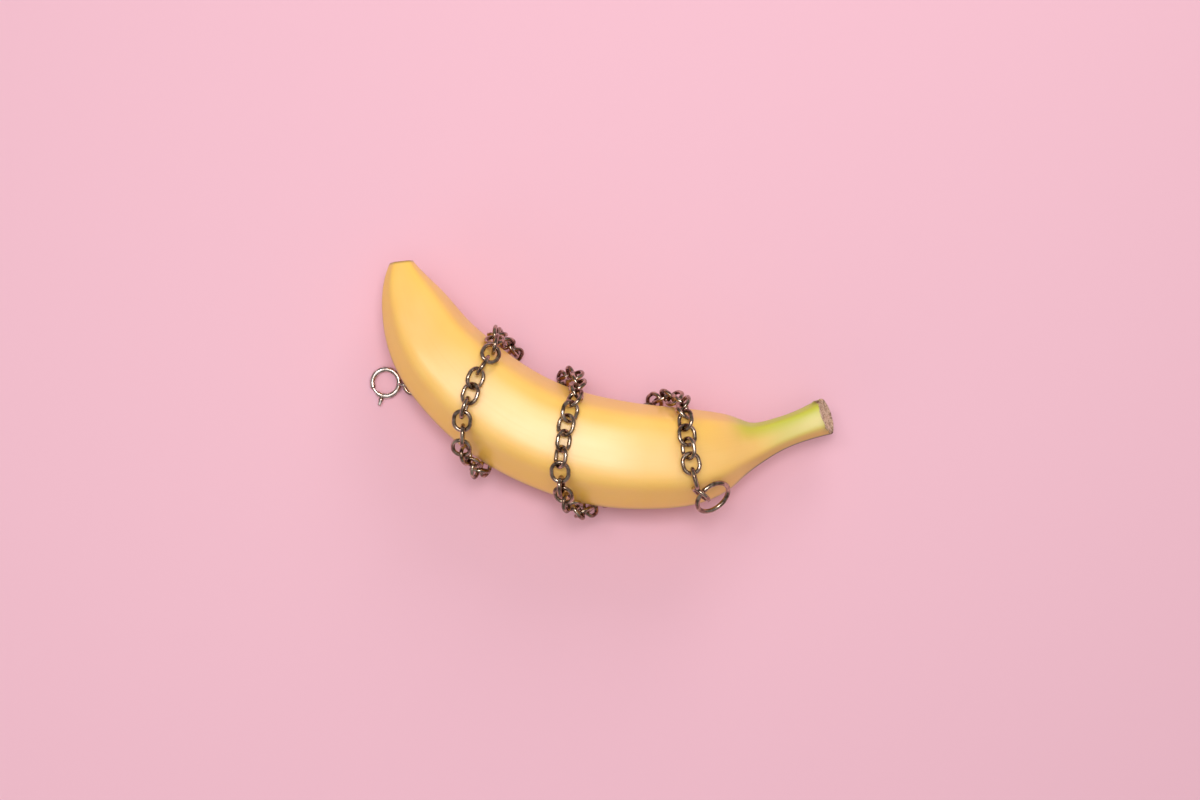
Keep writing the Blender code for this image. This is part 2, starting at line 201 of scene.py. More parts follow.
# The plain ring at the other end leans on the front of the fruit
END_RING_CENTRE = (40.08, -34.55, 35.67)
END_RING_RADIUS = 6.4
END_RING_WIRE = 0.85
END_RING_TILT = 49.9
END_RING_BEARING = -50.0


def natural_spline(knots, values, where):
    """Read a natural cubic spline through values at knots, at the places where."""
    step = np.diff(knots)
    slope = np.diff(values) / step
    size = len(knots)
    system = np.eye(size)
    change = np.zeros(size)
    for i in range(1, size - 1):
        system[i, i - 1:i + 2] = (step[i - 1], 2.0 * (step[i - 1] + step[i]), step[i])
        change[i] = 6.0 * (slope[i] - slope[i - 1])
    bend = np.linalg.solve(system, change)
    left = np.clip(np.searchsorted(knots, where) - 1, 0, size - 2)
    width = step[left]
    near = (knots[left + 1] - where) / width
    far = (where - knots[left]) / width
    curve = (near ** 3 - near) * bend[left] + (far ** 3 - far) * bend[left + 1]
    return near * values[left] + far * values[left + 1] + curve * width ** 2 / 6.0


def along(points):
    """Distance of each point from the first, measured along the points."""
    steps = np.linalg.norm(np.diff(points, axis=0), axis=1)
    return np.concatenate([[0.0], np.cumsum(steps)])


RIB_TABLE = np.array(RIBS)
STATIONS = along(RIB_TABLE[:, :2])
BANANA_LENGTH = STATIONS[-1]


def middle_line(station):
    """Centre, sideways direction towards the front, and half width at distances along the fruit."""
    columns = [natural_spline(STATIONS, RIB_TABLE[:, k], station) for k in range(4)]
    step = 0.05
    ahead = [natural_spline(STATIONS, RIB_TABLE[:, k], station + step) - columns[k] for k in range(2)]
    reach = np.hypot(ahead[0], ahead[1])
    sideways = np.stack([ahead[1] / reach, -ahead[0] / reach, np.zeros_like(reach)], axis=-1)
    return np.stack(columns[:3], axis=-1), sideways, columns[3]


def pentagon(angle):
    """Radius of a five-sided section with soft corners, one of them at RIDGE_ANGLE from the top."""
    faces = RIDGE_ANGLE + math.pi / PEEL_FACES * (1 + 2 * np.arange(PEEL_FACES))
    facing = np.maximum(np.cos(np.asarray(angle)[..., None] - faces), 0.0)
    five_sided = (facing ** RIDGE_SHARPNESS).sum(axis=-1) ** (-1.0 / RIDGE_SHARPNESS)
    return RIDGE_SHARE * five_sided + 1.0 - RIDGE_SHARE


def section_measures():
    """Scale and sideways shift that make the five-sided section span exactly its width."""
    angle = np.linspace(-math.pi, math.pi, SECTION_SAMPLES)
    sideways = pentagon(angle) * np.sin(angle)
    return 2.0 / (sideways.max() - sideways.min()), (sideways.max() + sideways.min()) / 2.0


SECTION_SCALE, SECTION_SHIFT = section_measures()


def peel_point(station, angle):
    """Point on the peel at a distance along the fruit and an angle from the top towards the front."""
    near_cut = np.clip((station - BANANA_LENGTH + CUT_REACH) / CUT_REACH, 0.0, 1.0)
    slid = station - CUT_SLANT * near_cut ** 2 * (1.0 + np.cos(angle))
    centre, sideways, half_width = middle_line(slid)
    radius = pentagon(angle) * SECTION_SCALE
    across = (radius * np.sin(angle) - SECTION_SHIFT * SECTION_SCALE) * half_width
    up = radius * np.cos(angle) * half_width
    return centre + across[..., None] * sideways + up[..., None] * np.array([0.0, 0.0, 1.0])


def nearest_section(points):
    """Pole of the section nearest to each point, and the peel's distance from it towards the point."""
    station = np.linspace(0.0, BANANA_LENGTH, PEEL_SAMPLES)
    centre, sideways, half_width = middle_line(station)
    flat = points[:, None, :2] - centre[None, :, :2]
    near = (flat ** 2).sum(axis=2).argmin(axis=1)
    pole = centre[near] - SECTION_SHIFT * SECTION_SCALE * half_width[near, None] * sideways[near]
    offset = points - pole
    angle = np.arctan2((offset * sideways[near]).sum(axis=1), offset[:, 2])
    return pole, offset, pentagon(angle) * SECTION_SCALE * half_width[near]


def clear_of_peel(points):
    """Move points that are too near the peel straight outwards, and keep all above the surface."""
    pole, offset, peel = nearest_section(points)
    distance = np.linalg.norm(offset, axis=1)
    wanted = np.maximum(distance, peel + LINK_REST)
    moved = pole + offset * (wanted / distance)[:, None]
    moved[:, 2] = np.maximum(moved[:, 2], FLOOR_REST)
    return moved


def chain_route():
    """Smooth line through the route's points, clear of the peel, sampled at equal steps."""
    chosen = np.array(ROUTE)
    knots = along(chosen)
    where = np.arange(0.0, knots[-1], ROUTE_STEP)
    line = np.stack([natural_spline(knots, chosen[:, k], where) for k in range(3)], axis=-1)
    kernel = np.hanning(ROUTE_SMOOTHING)
    kernel = kernel / kernel.sum()
    for _ in range(SMOOTHING_ROUNDS):
        line = clear_of_peel(line)
        padded = np.pad(line, ((ROUTE_SMOOTHING // 2, ROUTE_SMOOTHING // 2), (0, 0)), mode="edge")
        line = np.stack([np.convolve(padded[:, k], kernel, mode="valid") for k in range(3)], axis=-1)
    line = clear_of_peel(line)
    length = along(line)
    where = np.arange(0.0, length[-1], ROUTE_STEP)
    return np.stack([np.interp(where, length, line[:, k]) for k in range(3)], axis=-1)


LINK_END = LINK_LENGTH / 2.0 - WIRE / 2.0
LINK_BEND = (LINK_WIDTH - WIRE) / 2.0 / math.cos(math.pi / LINK_STEPS)
LINK_STRAIGHT = LINK_END - LINK_BEND


def wire_line():
    """Points along the middle of a link's wire, in the link's own plane."""
    turn = 2.0 * math.pi / LINK_STEPS * np.arange(LINK_STEPS + 1)
    corners = LINK_BEND * np.stack([np.cos(turn), np.sin(turn), 0.0 * turn], axis=-1)
    corners[:, 0] += np.copysign(LINK_STRAIGHT, corners[:, 0])
    share = np.linspace(0.0, 1.0, WIRE_SAMPLES, endpoint=False)[:, None, None]
    return (corners[:-1] * (1.0 - share) + corners[1:] * share).reshape(-1, 3)


WIRE_LINE = wire_line()


def outward_directions(route):
    """Direction away from the fruit at each point of the route, downwards on the surface below."""
    _, offset, _ = nearest_section(route)
    away = offset / np.linalg.norm(offset, axis=1)[:, None]
    low = np.clip((FLOOR_REACH - route[:, 2]) / (FLOOR_REACH - FLOOR_REST), 0.0, 1.0)[:, None]
    return away * (1.0 - low) + low * np.array([0.0, 0.0, -1.0])


def link_frame(route, outward, place, number):
    """Placement of a link as a 3 by 4 array: long axis, wide axis, thin axis and centre."""
    half = int(round(LINK_END / ROUTE_STEP))
    ahead = route[min(place + half, len(route) - 1)]
    direction = ahead - route[max(place - half, 0)]
    direction = direction / np.linalg.norm(direction)
    away = outward[place] - (outward[place] @ direction) * direction
    away = away / np.linalg.norm(away)
    beside = np.cross(away, direction)
    twist = np.interp(number, [k for k, _ in TWIST], [turn for _, turn in TWIST])
    roll = math.radians(FIRST_ROLL + ROLL_STEP * (number % 2) + twist)
    wide = math.cos(roll) * beside + math.sin(roll) * away
    axes = np.stack([direction, wide, np.cross(direction, wide)])
    centre = route[place].copy()
    _, offset, peel = nearest_section(WIRE_LINE @ axes + centre)
    room = np.linalg.norm(offset, axis=1) - peel - WIRE_FACET_RADIUS
    centre += max(0.0, PEEL_ROOM - room.min()) * away
    lowest = (WIRE_LINE @ axes)[:, 2].min() + centre[2] - WIRE_FACET_RADIUS
    centre[2] += max(0.0, -lowest)
    return np.concatenate([axes, centre[None]])


def wire_in_place(placed):
    """Points along a placed link's wire."""
    return WIRE_LINE @ placed[:3] + placed[3]


def link_frames():
    """Every link's placement, so that neighbours touch, with a gap between two runs.

    Each link tries the places from two thirds of a link's length to a whole one after the last, and
    takes the one whose wire is nearest to the wanted distance from the last link's wire.
    """
    route = chain_route()
    outward = outward_directions(route)
    half = int(round(LINK_END / ROUTE_STEP))
    place = half
    frames = [link_frame(route, outward, place, 0)]
    while len(frames) < LINK_COUNT:
        grip = 2.0 * WIRE_FACET_RADIUS - JOINT_OVERLAP
        if len(frames) in RUN_STARTS:
            grip = 2.0 * WIRE_FACET_RADIUS + GAP
        held = wire_in_place(frames[-1])
        tries = range(place + 4 * half // 3, min(place + 2 * half, len(route)))
        choices = [link_frame(route, outward, attempt, len(frames)) for attempt in tries]
        reach = []
        for choice in choices:
            apart = wire_in_place(choice)[:, None] - held[None]
            reach.append(math.sqrt((apart ** 2).sum(axis=2).min()))
        best = int(np.abs(np.array(reach) - grip).argmin())
        place = tries[best]
        frames.append(choices[best])
    return frames


# How finely the surfaces are drawn: rings along a piece and points round it
PEEL_RINGS = 400
PEEL_SIDES = 200
LINK_POINTS = 44
WIRE_POINTS = 12
TUBE_RINGS = 144
TUBE_POINTS = 24
BOLT_RINGS = 20
BOLT_POINTS = 16
LUG_RINGS = 49
LUG_POINTS = 14
KNOB_POINTS = 20
END_RING_RINGS = 97
END_RING_POINTS = 20

# The smooth link's line is wider and shorter than the faceted one's by this much
LINK_EASE = 0.05

# The bolt nearly meets the clasp's tube, which is rolled in at its two ends
BOLT_GAP = 0.06
ROLLED_SHARE = 0.9
ROLLED_STEPS = 70

# The thumb trigger is a turned knob: distances outwards and radii
KNOB_PROFILE = (
    (-0.3, 0.5), (0.0, 0.95), (0.15, 1.0), (0.9, 0.86),
    (1.7, 0.74), (2.2, 0.72), (2.45, 0.62), (2.6, 0.4),
)

# The cut at the stem's end: its rings as shares of the rim's radius, its hollow and a groove in it
CUT_RINGS = (0.985, 0.95, 0.87, 0.76, 0.63, 0.49, 0.34, 0.18)
CUT_HOLLOW = 0.5
CUT_GROOVE = 0.1
GROOVE_SHARE = 0.35
GROOVE_WIDTH = 0.3

# Relief beside the cut. A wave is a height, a count round the fruit and a phase. A patch is a place, a size
# and a height or share; its place and size are a distance before the cut and an angle in degrees.
RIM_ROUNDING = 1.6
RIM_DROP = 0.9
RIM_STEEPNESS = 0.97
FRAY_FADE = (2.2, 0.2)
FRAY_WAVES = ((0.28, 9.0, 1.0), (0.2, 23.0, 0.0), (0.12, 41.0, 0.0))
STEM_LOBE = ((4.2, -78.0), (2.0, 18.0), 0.8)
NECK_CREASE = ((35.5, -30.0), (1.6, 42.0), 0.22)

# Where the colours fade in, from none to full, in millimetres before the cut
STEM_FADE = (34.0, 17.0)
GREEN_FADE = (41.0, 32.0)
# Painted light on the upper side, away from the stem, fades in here
UPPER_PAINTED_LIGHT_FADE = (38.0, 48.0)
PITH_FADE = (1.9, 1.2)
NECK_FADE = (40.0, 28.0)
# The painted shade line under the stem and neck fades in here
SHADE_LINE_FADE = (46.0, 26.0)

# The same from the blossom end, and for the sine of the angle from the top
BLOSSOM_FADE = (24.0, 2.0)
TIP_FADE = (0.9, 0.1)
UPPER_FADE = (0.1, -0.95)
LOWER_FADE = (0.3, 1.0)

# Brown marks: two patches beside the cut and a ragged rim before it. Two bands of painted shade lie along
# the lowest ridge, where the side turns under; the bands' angles and widths are in degrees
TORN_SKIN = ((2.4, -72.0), (2.8, 17.0), 0.9)
BRUISE = ((2.6, 40.0), (2.6, 34.0), 0.22)
RAGGED_WAVES = ((0.55, 7.0, 0.4), (0.35, 19.0, 0.0))
RIM_PLACE = 1.5
RIM_WIDTH = 0.35
SHADE_LINE_ANGLE = 91.0
SHADE_LINE_WIDTH = 7.5
UNDERSIDE_SHADE_ANGLE = 97.0
UNDERSIDE_SHADE_WIDTH = 7.0

# Radii at which the peel's pattern is laid round the fruit and across the cut
STRAIGHT_RADIUS = 19.0
CUT_PATTERN = 7.0

# Sizes of the patterns; real scuffs are finer, and are drawn this coarse so that they show
FIBRE_WIDTH = 0.77
FIBRE_LENGTH = 33.3
FIBRE_DEPTH = 0.2
CLOUD_SIZE = 20.0
PITH_GRAIN = 0.625
SCUFF_SIZE = 2.0

# Colours as sRGB hex values
PEEL_YELLOW = "f4c577"
PEEL_DEEP = "f2bf6b"
PEEL_FIBRE = "e6b35c"
# Warmer orange: the peel's own at the blossom end, painted light on the lower and upper sides
PEEL_WARM_AND_PAINTED_LIGHT = "fecb4c"
STEM_PALE = "d8c673"
STEM_GREEN = "bcc02e"
# Dark brown: the peel's own marks, and painted shade along the underside
PEEL_BROWN_AND_PAINTED_SHADE = "5c3418"
PITH_PALE = "e4ccb0"
PITH_TAN = "c8a584"
PITH_DARK = "7a4c34"
NICKEL_DARK = "664d3e"
NICKEL_LIGHT = "d2bba6"
CLASP_DARK = "a08c82"
CLASP_LIGHT = "eee2da"
FLOOR_PINK = "e9b6c4"
SKY_WHITE = "ffffff"

# Roughness of each finish, from its smoothest to its roughest where it varies, and the paper's weak sheen
PEEL_SATIN = (0.3, 0.34)
NICKEL_POLISH = (0.08, 0.17)
CUT_ROUGHNESS = 0.8
PAPER_ROUGHNESS = 0.9
PAPER_SHEEN = 0.2

# How the light enters the peel: its refraction, its share and how far each colour goes
PEEL_IOR = 1.5
PEEL_ENTRY = 0.12
PEEL_DEPTHS = (4.0, 2.0, 0.8)
PEEL_DEPTH_SCALE = 0.5

# Soft boxes: name, place and side in metres, power in watts, and whether glossy pieces mirror the box
SOFT_BOXES = (
    ("key_box", (0.015, 0.12, 0.89), 0.22, 2.9, True),
    ("fill_box", (0.2, 0.7, 0.5), 0.42, 1.9, False),
    ("front_box", (-0.6, -0.45, 0.4), 0.5, 0.65, False),
    ("sparkle_box", (-0.28, 0.2, 0.85), 0.16, 0.8, True),
)
LIGHT_AIM = (0.0, 0.0, 0.02)

# White surroundings, dim at the sides and bright straight above; SKY_RISE is the sine of the height
SKY_LOW = 0.29
SKY_HIGH = 1.5
SKY_RISE = (0.85, 0.96)

# Half the side of the paper that the object lies on, in metres
PAPER_HALF = 3.0

# Pinhole camera straight above the fruit, as in the photograph
CAMERA_HEIGHT = 865.0
CAMERA_LENS = 70.0
CAMERA_SENSOR = 36.0


def smooth_step(low, high, value):
    """0 below low, 1 above high, and a smooth S-curve between them."""
    share = np.clip((value - low) / (high - low), 0.0, 1.0)
    return share * share * (3.0 - 2.0 * share)


def row_shift():
    """Shift from the frame of RIBS to the row's frame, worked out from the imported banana's box.

    The stem's end gives it lengthwise, the fruit's front and underside give it crosswise and upwards.
    """
    station = np.linspace(0.0, BANANA_LENGTH, BANANA_RINGS)[:, None]
    angle = np.linspace(0.0, 2.0 * math.pi, BANANA_SIDES, endpoint=False)[None]
    stations, angles = np.broadcast_arrays(station, angle)
    corners = peel_point(stations.ravel(), angles.ravel())
    low, high = (np.array(corner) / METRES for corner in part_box("banana"))
    shift = low - corners.min(axis=0)
    shift[0] = high[0] - corners[:, 0].max()
    return shift


ROW_SHIFT = row_shift()


def grid_faces(rings, sides, closed):
    """Quads of a grid of rings whose rows close on themselves; the last ring meets the first if closed."""
    index = np.arange(rings * sides).reshape(rings, sides)
    following = np.roll(index, -1, axis=0)
    if not closed:
        index = index[:-1]
        following = following[:-1]
    quads = [index, np.roll(index, -1, axis=1), np.roll(following, -1, axis=1), following]
    return np.stack(quads, axis=-1).reshape(-1, 4)


def capped(rings):
    """Vertices and faces of a tube given as rings of points, with a fan of triangles at each end."""
    count, sides = rings.shape[:2]
    poles = np.stack([rings[0].mean(axis=0), rings[-1].mean(axis=0)])
    points = np.concatenate([rings.reshape(-1, 3), poles])
    side = np.arange(sides)
    first = np.stack([np.roll(side, -1), side, np.full(sides, count * sides)], axis=-1)
    last = np.stack([side, np.roll(side, -1), np.full(sides, count * sides + 1)], axis=-1)
    last[:, :2] += (count - 1) * sides
    return points, grid_faces(count, sides, False).tolist() + first.tolist() + last.tolist()


def piece(name, points, faces, finish, slot_name, nodes):
    """Smooth-shaded mesh piece in the row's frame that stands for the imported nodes."""
    mesh = bpy.data.meshes.new(name)
    mesh.from_pydata(((points + ROW_SHIFT) * METRES).tolist(), [], faces)
    mesh.materials.append(finish)
    mesh.shade_smooth()
    made = bpy.data.objects.new(name, mesh)
    bpy.context.scene.collection.objects.link(made)
    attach(made, "root")
    if nodes:
        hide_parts(*nodes)
    return made


def store(mesh, name, values):
    """Put one number or one vector for each vertex into a named attribute."""
    kind, key = ("FLOAT", "value") if values.ndim == 1 else ("FLOAT_VECTOR", "vector")
    attribute = mesh.attributes.new(name, kind, "POINT")
    attribute.data.foreach_set(key, values.astype(np.float32).ravel())


def linear(colour):
    """Linear colour with alpha 1 from an sRGB hex value such as "f6c765"."""
    channels = [int(colour[k:k + 2], 16) / 255.0 for k in (0, 2, 4)]
    return (*[c / 12.92 if c <= 0.04045 else ((c + 0.055) / 1.055) ** 2.4 for c in channels], 1.0)


def add(tree, kind, inputs=None, stops=None, **settings):
    """Add a node with its properties and colour stops, and set or link each of its inputs."""
    made = tree.nodes.new(kind)
    for key, value in settings.items():
        setattr(made, key, value)
    for key, value in (inputs or {}).items():
        if isinstance(value, bpy.types.NodeSocket):
            tree.links.new(value, made.inputs[key])
        else:
            made.inputs[key].default_value = value
    if stops:
        ramp = made.color_ramp
        for place, colour in stops[1:-1]:
            ramp.elements.new(place).color = colour
        ramp.elements[0].position, ramp.elements[0].color = stops[0]
        ramp.elements[-1].position, ramp.elements[-1].color = stops[-1]
    return made


def new_material(name):
    """Empty node material: its tree and its Principled shader."""
    made = bpy.data.materials.new(name)
    made.use_nodes = True
    return made, made.node_tree, made.node_tree.nodes["Principled BSDF"]


def banana_peel_material():
    """Ripe banana peel: waxy skin, so a satin sheen over yellow that the light enters a little.

    The colour is yellow, pale green on the stem, browner at both ends and dry beige on the cut, with
    long fibres that follow the fruit. A warmer colour paints light on its lower and upper sides, and dark
    bands paint shade along its underside.
    """
    made, tree, shader = new_material("ripe_banana_peel")
    place = add(tree, "ShaderNodeAttribute", attribute_name="straightened").outputs["Vector"]
    fibres = add(tree, "ShaderNodeMapping", {
        "Vector": place, "Scale": (1.0 / FIBRE_WIDTH, 1.0 / FIBRE_WIDTH, 1.0 / FIBRE_LENGTH)}).outputs[0]
    streaks = add(tree, "ShaderNodeTexNoise", {"Vector": fibres, "Scale": 1.0, "Detail": 4.0}).outputs["Fac"]
    cloud = add(tree, "ShaderNodeTexNoise", {
        "Vector": place, "Scale": 1.0 / CLOUD_SIZE, "Detail": 2.0}).outputs["Fac"]
    grain = add(tree, "ShaderNodeTexNoise", {
        "Vector": place, "Scale": 1.0 / PITH_GRAIN, "Detail": 4.0}).outputs["Fac"]
    yellow = add(tree, "ShaderNodeValToRGB", {"Fac": cloud}, stops=(
        (0.35, linear(PEEL_DEEP)), (0.65, linear(PEEL_YELLOW)))).outputs["Color"]
    fibre_share = add(tree, "ShaderNodeMapRange", {
        "Value": streaks, "From Min": 0.52, "From Max": 0.8, "To Min": 0.0, "To Max": 0.2}).outputs[0]
    colour = add(tree, "ShaderNodeMix", {"Factor": fibre_share, "A": yellow, "B": linear(PEEL_FIBRE)},
                 data_type="RGBA").outputs["Result"]
    pith = add(tree, "ShaderNodeValToRGB", {"Fac": grain}, stops=(
        (0.28, linear(PITH_DARK)), (0.44, linear(PITH_TAN)), (0.6, linear(PITH_PALE)))).outputs["Color"]
    # Over the yellow: stem, green, painted light, the cut's pith, then brown with painted shade
    shades = (("stem", linear(STEM_PALE)), ("green", linear(STEM_GREEN)), ("warm_tip_and_painted_light", linear(PEEL_WARM_AND_PAINTED_LIGHT)),
              ("pith", pith), ("brown_and_painted_shade", linear(PEEL_BROWN_AND_PAINTED_SHADE)))
    for mask, shade in shades:
        share = add(tree, "ShaderNodeAttribute", attribute_name=mask).outputs["Fac"]
        colour = add(tree, "ShaderNodeMix", {"Factor": share, "A": colour, "B": shade},
                     data_type="RGBA").outputs["Result"]
    tree.links.new(colour, shader.inputs["Base Color"])
    satin = add(tree, "ShaderNodeMapRange", {
        "Value": streaks, "From Min": 0.3, "From Max": 0.7,
        "To Min": PEEL_SATIN[0], "To Max": PEEL_SATIN[1]}).outputs[0]
    cut = add(tree, "ShaderNodeAttribute", attribute_name="pith").outputs["Fac"]
    rough = add(tree, "ShaderNodeMix", {"Factor": cut, "A": satin, "B": CUT_ROUGHNESS}).outputs["Result"]
    tree.links.new(rough, shader.inputs["Roughness"])
    bump = add(tree, "ShaderNodeBump", {
        "Height": streaks, "Strength": 0.03, "Distance": FIBRE_DEPTH * METRES})
    tree.links.new(bump.outputs[0], shader.inputs["Normal"])
    shader.inputs["IOR"].default_value = PEEL_IOR
    shader.inputs["Subsurface Weight"].default_value = PEEL_ENTRY
    shader.inputs["Subsurface Radius"].default_value = [depth * METRES for depth in PEEL_DEPTHS]
    shader.inputs["Subsurface Scale"].default_value = PEEL_DEPTH_SCALE
    return made


def nickel_plate_material(name, dark, pale):
    """Nickel plated steel, tumbled to a polish: a warm mirror with a few fine scuffs.

    Black nickel is the same plate in a darker brown, so its mirror is dimmer.
    """
    made, tree, shader = new_material(name)
    place = add(tree, "ShaderNodeTexCoord").outputs["Object"]
    wear = add(tree, "ShaderNodeTexNoise", {
        "Vector": place, "Scale": 1.0 / (SCUFF_SIZE * METRES), "Detail": 3.0}).outputs["Fac"]
    colour = add(tree, "ShaderNodeValToRGB", {"Fac": wear}, stops=(
        (0.35, linear(dark)), (0.7, linear(pale)))).outputs["Color"]
    tree.links.new(colour, shader.inputs["Base Color"])
    rough = add(tree, "ShaderNodeMapRange", {
        "Value": wear, "From Min": 0.3, "From Max": 0.7,
        "To Min": NICKEL_POLISH[0], "To Max": NICKEL_POLISH[1]}).outputs[0]
    tree.links.new(rough, shader.inputs["Roughness"])
    shader.inputs["Metallic"].default_value = 1.0
    return made


def bump_at(value, middle, width):
    """Smooth bump that is 1 at middle and fades to both sides over about the width."""
    return np.exp(-((value - middle) / width) ** 2)


def waves(angle, table):
    """Sum of sine waves round the fruit, each with its own height, count and phase."""
    return sum(height * np.sin(count * angle + phase) for height, count, phase in table)


def patch(left, degrees, place, size, height):
    """Soft round patch on the peel, as high as height at its place, fading over its size both ways."""
    return height * bump_at(left, place[0], size[0]) * bump_at(degrees, place[1], size[1])


def peel_relief(angle, left):
    """How far the peel stands out from its smooth form, at an angle and a distance left to the cut.

    Sine waves fray its last millimetres, an arc rounds its rim inwards, a lobe stands beside the cut and
    a shallow crease lies on the neck.
    """
    degrees = np.degrees(angle)
    shoulder = RIM_STEEPNESS * np.clip(1.0 - left / RIM_ROUNDING, 0.0, 1.0)
    relief = waves(angle, FRAY_WAVES) * smooth_step(*FRAY_FADE, left)
    relief -= RIM_DROP * (1.0 - np.sqrt(1.0 - shoulder ** 2))
    relief += patch(left, degrees, *STEM_LOBE)
    relief -= patch(left, degrees, *NECK_CREASE)
    return relief


def cut_rings(rim, near_cut):
    """Rings of the hollow cut at the stem's end, from its rim inwards.

    Each ring is the rim shrunk about its middle. It is sunk by a parabola and a groove round the core, in
    the direction from near_cut, a point of the middle line, to the slanted rim's middle.
    """
    share = np.array(CUT_RINGS)
    middle = rim.mean(axis=0)
    inwards = (middle - near_cut) / np.linalg.norm(middle - near_cut)
    rings = middle + share[:, None, None] * (rim - middle)
    depth = CUT_HOLLOW * (1.0 - share ** 2) + CUT_GROOVE * bump_at(share, GROOVE_SHARE, GROOVE_WIDTH)
    return rings + depth[:, None, None] * inwards


def side_masks(station, angle):
    """Shares of each colour on the peel's side: stem, green, painted light, cut, and browning with painted
    shade.

    Each is a fade along the fruit times a fade round it. The warmer colour paints light on the lower side
    and on the upper side away from the stem, and is the peel's own at the blossom end. The browning sums
    its marks: a painted shade line and a painted shade band along the lowest ridge, a ragged rim, the tip,
    the neck's lower side and two patches beside the cut.
    """
    left = BANANA_LENGTH - station
    degrees = np.degrees(angle)
    upper = smooth_step(*UPPER_FADE, np.sin(angle))
    lower = smooth_step(*LOWER_FADE, np.sin(angle))
    stem = smooth_step(*STEM_FADE, left) * (1.0 - 0.6 * lower)
    green = 0.95 * smooth_step(*GREEN_FADE, left) * upper
    # Painted light: a warmer, brighter colour on the lower side and on the upper side away from the stem;
    # the blossom end's warmth is the peel's own
    warm_tip_and_painted_light = 0.8 * lower + 0.45 * upper * smooth_step(*UPPER_PAINTED_LIGHT_FADE, left)
    warm_tip_and_painted_light += 0.3 * smooth_step(*BLOSSOM_FADE, station)
    ragged = left + waves(angle, RAGGED_WAVES)
    # Painted shade: a dark line along the underside of the stem and neck
    line = bump_at(degrees, SHADE_LINE_ANGLE, SHADE_LINE_WIDTH) * smooth_step(*SHADE_LINE_FADE, left)
    # Painted shade: a dark band along the underside of the whole fruit
    edge = bump_at(degrees, UNDERSIDE_SHADE_ANGLE, UNDERSIDE_SHADE_WIDTH)
    rim = bump_at(ragged, RIM_PLACE, RIM_WIDTH) * (1.0 + np.sin(7.0 * angle) * np.sin(17.0 * angle))
    tip = smooth_step(*TIP_FADE, station)
    # The rim, tip, neck and patches are the peel's own brown; the line and the edge band are painted shade
    brown_and_painted_shade = 0.75 * line + 0.5 * edge + 0.35 * rim + 0.7 * tip + 0.2 * lower * smooth_step(*NECK_FADE, left)
    brown_and_painted_shade += patch(left, degrees, *TORN_SKIN) + patch(left, degrees, *BRUISE)
    pith = smooth_step(*PITH_FADE, ragged)
    return {"stem": stem, "green": green, "warm_tip_and_painted_light": warm_tip_and_painted_light, "pith": pith, "brown_and_painted_shade": brown_and_painted_shade}


def cut_masks(share, turn):
    """The same shares on the cut: all pith, with browned spots near its rim and in a ring round its core.

    The spots lie where the product of two sine waves and a third wave add up to a peak.
    """
    spots = np.sin(11.0 * turn + 0.7) * np.sin(29.0 * turn) + 0.5 * np.sin(5.0 * turn - 1.0)
    brown_and_painted_shade = 0.75 * smooth_step(0.62, 0.95, share) * smooth_step(0.0, 0.7, spots)
    brown_and_painted_shade += 0.6 * bump_at(share, 0.55, 0.1) * smooth_step(0.0, 0.8, np.sin(3.0 * turn + 2.0))
    none = np.zeros_like(share)
    return {"stem": none, "green": none, "warm_tip_and_painted_light": none, "pith": np.ones_like(share), "brown_and_painted_shade": brown_and_painted_shade}


# The same shares at the last two vertices: the middle of the blossom end and the middle of the cut
POLE_MASKS = {
    "stem": (0.0, 0.0), "green": (0.0, 0.0), "warm_tip_and_painted_light": (0.3, 0.0), "pith": (0.0, 1.0), "brown_and_painted_shade": (0.75, 0.0),
}


def laid_round(radius, angle, station):
    """Points of the peel's pattern: as if the fruit were straight, at a radius, an angle and a distance."""
    return np.stack([radius * np.cos(angle), radius * np.sin(angle), station], axis=-1)


def peel(finish):
    """The whole peel on a grid of distance along the fruit and angle round it, with masks for its colours.

    The cut at the stem's end goes on inwards as rings that shrink to its middle.
    """
    stations = np.linspace(0.0, BANANA_LENGTH, PEEL_RINGS)
    angles = np.linspace(-math.pi, math.pi, PEEL_SIDES, endpoint=False)
    station, angle = (grid.ravel() for grid in np.meshgrid(stations, angles, indexing="ij"))
    points = peel_point(station, angle)
    out = points - middle_line(station)[0]
    out = out / np.linalg.norm(out, axis=1)[:, None]
    points = points + peel_relief(angle, BANANA_LENGTH - station)[:, None] * out
    rings = points.reshape(PEEL_RINGS, PEEL_SIDES, 3)
    near_cut = middle_line(stations[-2:-1])[0][0]
    cut = cut_rings(rings[-1], near_cut)
    points, faces = capped(np.concatenate([rings, cut]))
    made = piece("banana_peel", points, faces, finish, "peel", ["banana"])

    turn = np.tile(angles, len(CUT_RINGS))
    share = np.repeat(CUT_RINGS, PEEL_SIDES)
    on_side = side_masks(station, angle)
    on_cut = cut_masks(share, turn)
    for name, at_poles in POLE_MASKS.items():
        mask = np.concatenate([on_side[name], on_cut[name], at_poles])
        store(made.data, name, np.clip(mask, 0.0, 1.0))
    side = laid_round(STRAIGHT_RADIUS, angle, station)
    across = laid_round(CUT_PATTERN * share, turn, np.full_like(share, BANANA_LENGTH))
    poles = laid_round(0.0, np.zeros(2), np.array([0.0, BANANA_LENGTH]))
    store(made.data, "straightened", np.concatenate([side, across, poles]))
    return made


def fine_wire_line():
    """Points along the middle of a smooth link's wire, two half circles joined by straight sides.

    With them come the directions in the link's plane away from its middle.
    """
    bend = (LINK_WIDTH - WIRE) / 2.0 + LINK_EASE
    straight = LINK_END - LINK_EASE - bend
    turn = 2.0 * math.pi / LINK_POINTS * (np.arange(LINK_POINTS) + 0.5)
    outwards = np.stack([np.cos(turn), np.sin(turn), 0.0 * turn], axis=-1)
    line = bend * outwards
    line[:, 0] += np.copysign(straight, line[:, 0])
    return line, outwards


